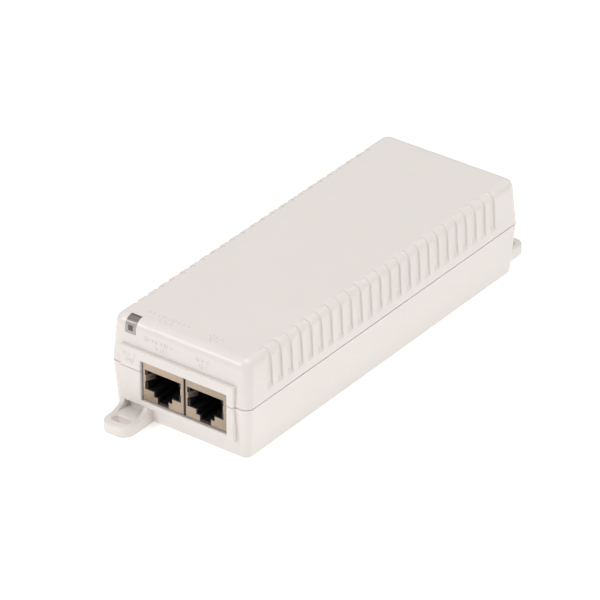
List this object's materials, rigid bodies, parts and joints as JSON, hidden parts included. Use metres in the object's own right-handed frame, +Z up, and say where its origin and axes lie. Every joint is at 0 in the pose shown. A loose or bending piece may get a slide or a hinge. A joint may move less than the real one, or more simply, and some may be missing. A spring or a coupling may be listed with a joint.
{
  "type": "poe injector",
  "caption": "Desktop PoE injector in a two-part white case with ribbed sides, two shielded RJ45 jacks, a rear appliance inlet and two screw ears.",
  "frame": {"origin": "bottom centre of the case, on the surface it stands on", "axes": "+X to the right seen from the jacks, +Y from the jacks to the mains inlet, +Z up"},
  "size_m": [0.053, 0.1664, 0.034],
  "materials": {
    "housing": "fine satin moulded",
    "clear_window": "clear moulded",
    "label_film": "satin film",
    "board_laminate": "solder-mask satin",
    "plated_sheet": "plated sheet, satin",
    "black_moulding": "satin moulded",
    "gold_contact": "gold flash",
    "plated_steel": "zinc plated",
    "nickel_pin": "nickel plated",
    "fish_paper": "matte sheet",
    "ferrite": "matte ceramic",
    "copper_wire": "enamelled wire",
    "heatsink_alloy": "mill finish",
    "capacitor_sleeve": "shrink sleeve",
    "box_capacitor_case": "moulded",
    "disc_coating": "dipped epoxy",
    "package_epoxy": "moulded epoxy",
    "winding_tape": "polyester tape",
    "bobbin_resin": "moulded resin",
    "lamp_lens": "lamp lens"
  },
  "bodies": {
    "case": {"board_screws": "plated_steel", "bottom_case": "housing", "bridge_rectifier": "package_epoxy", "bulk_capacitor": "capacitor_sleeve", "choke_core": "ferrite", "choke_windings": "copper_wire", "fuse": "black_moulding", "inductor_core": "ferrite", "inductor_winding": "copper_wire", "inlet_body": "black_moulding", "inlet_earth_pin": "nickel_pin", "inlet_line_pin": "nickel_pin", "inlet_neutral_pin": "nickel_pin", "insulation_sheet": "fish_paper", "jack_insert_in": "black_moulding", "jack_insert_out": "black_moulding", "jack_leads_in": "gold_contact", "jack_leads_out": "gold_contact", "jack_shield_in": "plated_sheet", "jack_shield_out": "plated_sheet", "light_pipe": "clear_window", "line_transformer": "package_epoxy", "main_board": "board_laminate", "optocoupler": "package_epoxy", "output_capacitors": "capacitor_sleeve", "primary_heatsink": "heatsink_alloy", "pse_controller": "package_epoxy", "rating_label": "label_film", "rectifier_diode": "package_epoxy", "secondary_heatsink": "heatsink_alloy", "status_leds": "lamp_lens", "switching_transistor": "package_epoxy", "top_cover": "housing", "transformer_bobbin": "bobbin_resin", "transformer_core": "ferrite", "transformer_winding": "winding_tape", "varistor": "disc_coating", "x_capacitor": "box_capacitor_case", "y_capacitor": "disc_coating"},
    "contacts_out": {"jack_contacts_out": "gold_contact"},
    "contacts_in": {"jack_contacts_in": "gold_contact"}
  },
  "joints": [
    {"name": "contacts_out_flex", "type": "hinge", "parent": "case", "child": "contacts_out", "pos_m": [-0.0058, -0.0675, 0.0192], "axis": [1, 0, 0], "range_deg": [0, 14], "stiffness_Nm_per_rad": 0.1},
    {"name": "contacts_in_flex", "type": "hinge", "parent": "case", "child": "contacts_in", "pos_m": [0.01035, -0.0675, 0.0192], "axis": [1, 0, 0], "range_deg": [0, 14], "stiffness_Nm_per_rad": 0.1}
  ]
}
